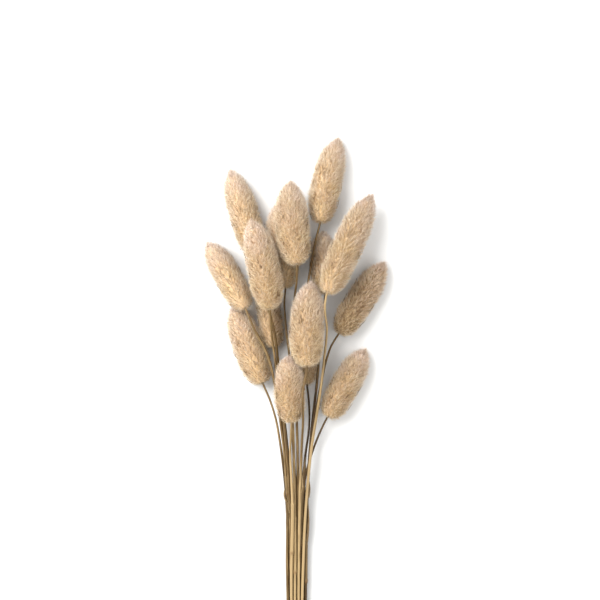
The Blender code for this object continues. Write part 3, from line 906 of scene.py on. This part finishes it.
def stem_values(stations, at_joint, at_mouth, turn):
    """What the straw's material reads at each ring and turn, and at the two poles.

    grain is (cos turn, sin turn, length / GRAIN_LENGTH). sheath is 1 from joint to mouth, joint is
    exp(-(distance / 1 mm)^2), and the last number is 1 in the hollow, which is painted dark as shade.
    """
    length = np.concatenate(((HOLLOW_RINGS[0][1], 0.0), stations))
    shape = (len(length), STEM_SIDES)
    in_sheath = (length > at_joint) & (length <= at_mouth + HAIRBREADTH)
    grain = (np.cos(turn), np.sin(turn), length[:, None] / GRAIN_LENGTH)
    named = {
        "grain": np.stack([np.broadcast_to(part, shape) for part in grain], axis=-1),
        "sheath": np.broadcast_to(in_sheath.astype(float)[:, None], shape),
        "joint": np.broadcast_to(np.exp(-((length - at_joint) / JOINT_STAIN) ** 2)[:, None], shape),
        "brown_and_shade": np.broadcast_to(np.where(np.arange(len(length)) < 2, 1.0, 0.0)[:, None], shape),
    }
    return {name: np.concatenate((grid.reshape(-1, *grid.shape[2:]), grid[:1, 0], grid[-1:, 0]))
            for name, grid in named.items()}


def stem_tone_and_shade(centre, corners, draw):
    """layer times a weight, and a little by chance: painted shade makes stems deep in the bunch
    browner than those on top.

    The weight is 1 from y = 5 mm down to y = -60 mm and falls off to 0.4 at the cut ends. Above, it
    fades to a quarter near the heads, where the stems stand apart and less shade falls.
    """
    layer = (np.interp(WAIST_Y, centre[:, 1], centre[:, 2]) - MIDDLE_LAYER) / LAYER_APART
    shade_weight = (np.clip((SHADE_FROM - corners[:, 1]) / SHADE_FADE, 0.25, 1.0)
            - 0.6 * np.clip((SHADE_TO - corners[:, 1]) / ENDS_FADE, 0.0, 1.0))
    return layer * shade_weight + draw.uniform(-TONE_SCATTER, TONE_SCATTER)


trial = stem_values(np.array((0.0, 0.1)), 0.02, 0.05, even_turns(STEM_SIDES))
print("numbers at a stem's corners:", {name: numbers.shape for name, numbers in trial.items()})

# %% Sweep a stem
INTO_HEAD = 6 * MM
SEAM = 0.04
HOLLOW_POLE = 1.0 * MM


def make_stem_tube(line, number, draw):
    """Rings round the line, a dimpled cut end, and a top that ends inside the head."""
    joint, sheath = np.array(JOINTS[number]) * MM
    head = HEADS[number]
    into = unit(np.array(head["tip"]) - np.array(head["base"])) * INTO_HEAD
    line = np.concatenate((line, (line[-1] + into,)))
    stations, at_joint, at_mouth = stem_stations(line, joint, sheath)
    centre = smooth_line(line, stations)
    along = unit(np.gradient(centre, axis=0))
    side = unit(np.cross(along, (0.0, 0.0, 1.0)))
    first = draw.uniform(0.0, math.tau)
    turn = np.append(np.linspace(0.0, math.tau, STEM_SIDES)[:-1], math.tau - SEAM)
    radii = stem_radii(stations, stations[-1], at_joint, at_mouth, turn)
    way = round_ways(side, np.cross(side, along), turn + first)
    rings = centre[:, None] + radii[..., None] * way
    hollow = [centre[0] + radii[0, 0] * share * way[0] + along[0] * depth for share, depth in HOLLOW_RINGS]
    poles = (centre[0] + along[0] * HOLLOW_POLE, centre[-1])
    corners = np.concatenate((*hollow, rings.reshape(-1, 3), np.stack(poles)))
    values = stem_values(stations, at_joint, at_mouth, turn)
    values["tone_and_shade"] = stem_tone_and_shade(centre, corners, draw)
    # The corners run clockwise round the line, so the triangles are turned over to face outwards.
    return corners, tube_faces(len(stations) + len(hollow), STEM_SIDES)[:, ::-1], values


first_tube = make_stem_tube(stem_lines[0], 0, np.random.default_rng(0))
print("triangles in a stem:", len(first_tube[1]), "volume", held_volume(*first_tube[:2]), "mm3")

# %% [markdown]
# ## Dead sheaths
# Here and there a scrap of dead sheath has peeled off its joint and curled. Lower down, where the
# stems run together, whole dead sheaths lie between them, coloured dark brown as painted shade in
# the gaps. Cloth could be draped for them, but dry sheath is stiff and thin as paper. So each is swept
# as a ribbon: a flat gutter of six corners along a line that bulges off the stem. A scrap narrows all
# the way to its point, and a whole sheath keeps its width almost to the end.

# %% Peeled scraps and whole dead sheaths
# Each one's stem, counted from 0, where along it the ribbon starts, which way round the stem it
# stands, its length, how far it bulges off, its width, and how brown it is: a scrap's own brown, and on
# the five whole sheaths painted shade for the gaps. In millimetres and degrees.
SCRAPS = [dict(zip(("stem", "start", "turn", "length", "off", "width", "brown_and_gap_shade"), row)) for row in (
    (8, -3.5, 140.0, 8.0, 1.2, 1.5, 0.4),
    (6, -1.5, 42.0, 9.0, 0.8, 2.2, 0.7),
    (6, -24.0, 42.0, 20.0, 0.8, 2.4, 0.75),
    (11, 2.0, 25.0, 9.0, 0.7, 1.0, 0.0),
    (2, -9.0, 110.0, 6.0, 0.6, 0.9, 0.3),
    # The last five are whole sheaths low in the bunch, dark as painted shade in the gaps between stems.
    (9, -52.0, 70.0, 46.0, 0.1, 2.6, 0.8),
    (10, -53.0, 85.0, 66.0, 0.1, 2.9, 0.85),
    (4, -52.0, 90.0, 68.0, 0.1, 2.9, 0.8),
    (14, -53.0, 85.0, 72.0, 0.1, 3.2, 0.85),
    (7, -52.0, 110.0, 50.0, 0.1, 2.2, 0.8),
)]
print("scraps and sheaths:", len(SCRAPS))

# %% Make a ribbon
SCRAP_THICKNESS = 0.12 * MM
SCRAP_PLACES = 14
WHOLE_SHEATH, SCRAP_TAPER, SHEATH_TAPER = 30, 1, 5
GUTTER = np.array(((-1.0, -0.45, 0.0), (-0.5, 0.0, 0.5), (0.5, 0.0, 0.5),
                   (1.0, -0.45, 0.0), (0.5, 0.0, -0.5), (-0.5, 0.0, -0.5)))


def make_scrap(line, scrap):
    """A closed ribbon along a stem's line, that bulges off it by off sin(pi s) and narrows to a point.

    Its half width is width / 2 (1.02 - s^taper)^0.6. A corner of the gutter is set across, dropped
    and raised by the three numbers of its row: shares of the half width twice, and of the thickness.
    """
    s = np.linspace(0.0, 1.0, SCRAP_PLACES)
    y = (scrap["start"] + scrap["length"] * s) * MM
    x, z = (np.interp(y, line[:, 1], line[:, axis]) for axis in (0, 2))
    turn = math.radians(scrap["turn"])
    outward = np.array((math.cos(turn), 0.0, math.sin(turn)))
    stand = STEM_RADIUS + scrap["off"] * MM * np.sin(math.pi * s)
    middle = np.stack((x, y, z), axis=1) + stand[:, None] * outward
    side = unit(np.cross(unit(np.gradient(middle, axis=0)), outward))
    taper = SCRAP_TAPER if scrap["length"] < WHOLE_SHEATH else SHEATH_TAPER
    half = scrap["width"] * MM / 2 * np.clip(1.02 - s ** taper, 0.02, 1.0) ** 0.6
    across, drop, skin = GUTTER.T
    rings = (middle[:, None] + half[:, None, None] * across[None, :, None] * side[:, None]
             + (half[:, None] * drop + skin * SCRAP_THICKNESS)[..., None] * outward)
    corners = np.concatenate((rings.reshape(-1, 3), middle[:1], middle[-1:]))
    count = len(corners)
    grain = np.stack((corners[:, 0], corners[:, 2], 0.2 * corners[:, 1]), axis=1) / (1.5 * MM)
    values = {"grain": grain, "sheath": np.ones(count), "joint": np.zeros(count),
              "brown_and_shade": np.full(count, scrap["brown_and_gap_shade"]), "tone_and_shade": np.full(count, 0.6)}
    return corners, tube_faces(SCRAP_PLACES, len(GUTTER)), values


ribbon = make_scrap(stem_lines[8], SCRAPS[0])
print("triangles in a ribbon:", len(ribbon[1]), "volume", held_volume(*ribbon[:2]), "mm3")

# %% [markdown]
# ## Colour of the straw
# Straw is gold with fine darker fibres along it. Joints have dried brown, and sheaths are paler and
# duller than the straw. Painted shade makes stems deep in the bunch darker, down to near black, and
# makes the hollow at the cut end and the whole sheaths low down dark. Noise in space would cut across
# a bent stem, so the fibres read the numbers round and along it. They follow every bend and have no seam.

# %% The straw's colours
# The lower stops are painted shade, reached by stems deep in the bunch.
STRAW_COLOURS_AND_SHADE = (
    (0.3, (0.02, 0.008, 0.001)),
    (0.7, (0.135, 0.077, 0.022)),
    (1.0, (0.40, 0.28, 0.135)),
)
# Each part's share of its own colour, and that colour.
STRAW_PARTS = {
    "sheath": (0.35, (0.33, 0.23, 0.105)),
    "joint": (0.7, (0.195, 0.105, 0.04)),
    # Painted shade for the hollow and the whole sheaths low down, and a scrap's own brown.
    "brown_and_shade": (0.85, (0.10, 0.055, 0.02)),
}
print("parts with a colour of their own:", list(STRAW_PARTS))

# %% The straw's finish
FIBRE_SCALE, FIBRE_SHARE = 4.5, 1.6
STREAK_SCALE, STREAK_SHARE = 0.7, 0.7
# The first of these is how strongly painted shade darkens stems deep in the bunch.
LAYER_SHADE_SHARE, STRAW_START = 0.45, 0.3
BUMP_HEIGHT = 0.08 * MM


def straw_material():
    """Gold straw, fibres, pale sheaths, brown joints, and painted shade in deep stems and hollows.

    A place on STRAW_COLOURS_AND_SHADE is 0.3 + 1.6 (fibre - 0.5) + 0.7 streak + 0.45 tone.
    """
    material, tree, shader = new_material("straw", 0.5)
    grain = attribute_node(tree, "grain").outputs["Vector"]
    fibre = noise_node(tree, grain, FIBRE_SCALE, 4.0)
    streak = noise_node(tree, grain, STREAK_SCALE, 2.0)
    tone_and_shade = attribute_node(tree, "tone_and_shade").outputs["Fac"]
    place = math_node(tree, "MULTIPLY", math_node(tree, "SUBTRACT", fibre, 0.5), FIBRE_SHARE)
    place = math_node(tree, "ADD", place, math_node(tree, "MULTIPLY", streak, STREAK_SHARE))
    place = math_node(tree, "ADD", place, math_node(tree, "MULTIPLY", tone_and_shade, LAYER_SHADE_SHARE))
    straw = ramp_node(tree, STRAW_COLOURS_AND_SHADE)
    tree.links.new(math_node(tree, "ADD", place, STRAW_START), straw.inputs[0])
    colour = straw.outputs[0]
    for part, (share, own) in STRAW_PARTS.items():
        amount = math_node(tree, "MULTIPLY", attribute_node(tree, part).outputs["Fac"], share)
        colour = mix_colours(tree, "MIX", amount, colour, own)
    tree.links.new(colour, shader.inputs["Base Color"])
    bump = tree.nodes.new("ShaderNodeBump")
    bump.inputs["Strength"].default_value = 0.35
    bump.inputs["Distance"].default_value = BUMP_HEIGHT
    tree.links.new(fibre, bump.inputs["Height"])
    tree.links.new(bump.outputs[0], shader.inputs["Normal"])
    shader.inputs["Specular IOR Level"].default_value = 0.3
    return material


straw = straw_material()
print("straw:", len(straw.node_tree.nodes), "nodes")

# %% Make the stems


def make_stem(number):
    """One stem with its scraps of sheath, in one piece."""
    draw = np.random.default_rng(100 + number)
    line = stem_lines[number]
    parts = [make_stem_tube(line, number, draw)]
    parts += [make_scrap(line, scrap) for scrap in SCRAPS if scrap["stem"] == number]
    corners, triangles, values = joined(parts)
    name = f"stem_{number + 1:02d}"
    return new_piece("straw_" + name, corners, triangles, values, name, "straw", straw)


stems = [make_stem(number) for number in range(len(HEADS))]
print("stem triangles:", sum(len(piece.data.polygons) for piece in stems))

# %% [markdown]
# ## Where the twine runs
# The tie is plain plant-fibre twine, wound four times round the waist with the ends tucked under the
# turns. A ring would look like a rubber band. Wound tight, twine takes the stems' outline: straight
# over the hollows between two stems and round over each outer one. So its line is worked out from
# where the stems lie at the waist.

# %% The twine's line
STEM_PITCH = 2 * STEM_RADIUS + 0.35 * MM
WAIST_X = 0.6 * MM
WAIST_ROWS = (5, 6, 4)
TWINE_RADIUS, TWINE_TURNS, TIE_GAP = 0.7 * MM, 4, 0.3 * MM
TWINE_PLACES, TWINE_RINGS = 6000, 480
END_SUNK, END_LENGTH = 1.1 * MM, 4 * MM


def waist_outline(turn):
    """Where a tight thread runs at each turn: the outermost stem that way, and out by its radius."""
    rise = STEM_PITCH * math.sqrt(3) / 2
    slots = np.array([(WAIST_X + (place - (count - 1) / 2) * STEM_PITCH,
                       STEM_RADIUS + TIE_GAP + 2 * TWINE_RADIUS + row * rise)
                      for row, count in enumerate(WAIST_ROWS) for place in range(count)])
    outward = np.stack((np.cos(turn), np.sin(turn)), axis=1)
    outermost = slots[(outward @ slots.T).argmax(axis=1)]
    return outermost + outward * (STEM_RADIUS + TIE_GAP + TWINE_RADIUS)


def twine_line():
    """The twine's middle: a helix whose last few millimetres sink towards the stems, under their turn."""
    fine = np.linspace(0.0, TWINE_TURNS * math.tau, TWINE_PLACES)
    flat = waist_outline(fine)
    share = fine / fine[-1]
    y = WAIST_Y + (share - 0.5) * 2 * TWINE_RADIUS * (TWINE_TURNS - 0.9)
    points = np.stack((flat[:, 0], y, flat[:, 1]), axis=1)
    length = lengths_along(points)
    even = np.linspace(0.0, length[-1], TWINE_RINGS)
    points = np.stack([np.interp(even, length, column) for column in points.T], axis=1)
    points[1:-1] = 0.5 * points[1:-1] + 0.25 * (points[:-2] + points[2:])
    middle = np.array((WAIST_X, 0.0, 0.0)) + points.mean(axis=0) * np.array((0.0, 1.0, 1.0))
    inward = unit((middle - points) * np.array((1.0, 0.0, 1.0)))
    near_end = np.minimum(even, even[-1] - even)
    sink = np.clip(1.0 - near_end / END_LENGTH, 0.0, 1.0) ** 2
    return points + inward * (sink * END_SUNK)[:, None], even


print("twine:", round(twine_line()[1][-1] / MM), "mm long")

# %% [markdown]
# ## Strands and fibres
# The twine is three strands twisted together. They could be three tubes, but only their backs show.
# One tube does, with a three-lobed outline that turns as it goes along. Loose fibres stand off it.

# %% Lay up the strands
TWINE_SIDES = 12
TWIST_LENGTH, STRAND_LENGTH = 4.2 * MM, 5 * MM
LOBES, LOBE_MIDDLE, LOBE_HEIGHT = 3, 0.88, 0.17


def make_rope(line, length, way):
    """Rings of radius 0.88 TWINE_RADIUS (1 + 0.17 cos 3(turn - twist)) along the line."""
    phase = even_turns(TWINE_SIDES)[None, :] - (length / TWIST_LENGTH * math.tau / LOBES)[:, None]
    lobe = np.cos(LOBES * phase)
    radius = TWINE_RADIUS * LOBE_MIDDLE * (1 + LOBE_HEIGHT * lobe)
    rings = line[:, None] + radius[..., None] * way
    corners = np.concatenate((rings.reshape(-1, 3), line[:1], line[-1:]))
    # ply is 0 in a groove and 1 on a strand's back; the material paints the grooves dark as shade.
    ply = np.append(0.5 + 0.5 * lobe.ravel(), (0.0, 0.0))
    run = np.broadcast_to(length[:, None] / STRAND_LENGTH, phase.shape)
    strand = np.stack((np.cos(phase), np.sin(phase), run), axis=-1)
    strand = np.concatenate((strand.reshape(-1, 3), strand[:1, 0], strand[-1:, 0]))
    # These corners run clockwise too.
    triangles = tube_faces(TWINE_RINGS, TWINE_SIDES)[:, ::-1]
    return rings, (corners, triangles, {"ply": ply, "strand": strand})


print("a strand goes once round in", round(LOBES * TWIST_LENGTH / MM, 1), "mm")

# %% Loose fibres, and the whole twine
TWINE_FIBRES, FIBRE_HALF_WIDTH = 700, 0.04 * MM
FIBRE_SIZES = (0.5, 1.6)
FIBRE_FLOOR = 0.1 * MM


def make_fibres(rings, along, way, draw):
    """Short spikes off chance corners of the rope, forwards and outwards, kept above the floor."""
    ring = draw.integers(4, TWINE_RINGS - 4, TWINE_FIBRES)
    column = draw.integers(0, TWINE_SIDES, TWINE_FIBRES)
    root = rings[ring, column]
    aim = unit(0.7 * way[ring, column] + along[ring] + draw.normal(0.0, 0.5, (TWINE_FIBRES, 3)))
    point = root + aim * (draw.uniform(*FIBRE_SIZES, TWINE_FIBRES) * MM)[:, None]
    point[:, 2] = np.maximum(point[:, 2], FIBRE_FLOOR)
    corners, triangles = spikes(root, point, FIBRE_HALF_WIDTH)
    count = len(corners)
    return corners, triangles, {"ply": np.full(count, 1.0), "strand": np.zeros((count, 3))}


def make_twine(draw):
    """The rope with its fibres."""
    line, length = twine_line()
    along = unit(np.gradient(line, axis=0))
    side = unit(np.cross(along, (0.0, 1.0, 0.0)))
    way = round_ways(side, np.cross(side, along), even_turns(TWINE_SIDES))
    rings, rope = make_rope(line, length, way)
    return joined((rope, make_fibres(rings, along, way, draw)))


corners, triangles, values = make_twine(np.random.default_rng(7))
print("triangles in the twine:", len(triangles), "volume", held_volume(corners, triangles), "mm3")

# %% The twine's finish
# The darkest stop is painted shade in the grooves between the strands.
TWINE_COLOURS_AND_GROOVE_SHADE = (
    (0.15, (0.09, 0.05, 0.02)),
    (0.5, (0.255, 0.16, 0.075)),
    (0.9, (0.45, 0.32, 0.18)),
)
GROOVE_SHADE_SHARE, TWINE_STREAK_SHARE = 0.5, 0.6


def twine_material():
    """Brown plant fibre streaked along, with painted shade in the grooves between the strands."""
    material, tree, shader = new_material("twine", 0.85)
    ply = attribute_node(tree, "ply").outputs["Fac"]
    streak = noise_node(tree, attribute_node(tree, "strand").outputs["Vector"], 4.0, 3.0)
    place = math_node(tree, "ADD", math_node(tree, "MULTIPLY", ply, GROOVE_SHADE_SHARE),
                      math_node(tree, "MULTIPLY", streak, TWINE_STREAK_SHARE))
    colours = ramp_node(tree, TWINE_COLOURS_AND_GROOVE_SHADE)
    tree.links.new(place, colours.inputs[0])
    tree.links.new(colours.outputs[0], shader.inputs["Base Color"])
    return material


twine = new_piece("twine_tie", corners, triangles, values, "tie", "twine", twine_material())
print("triangles in all:", sum(len(piece.data.polygons) for piece in (*heads, *stems, twine)))
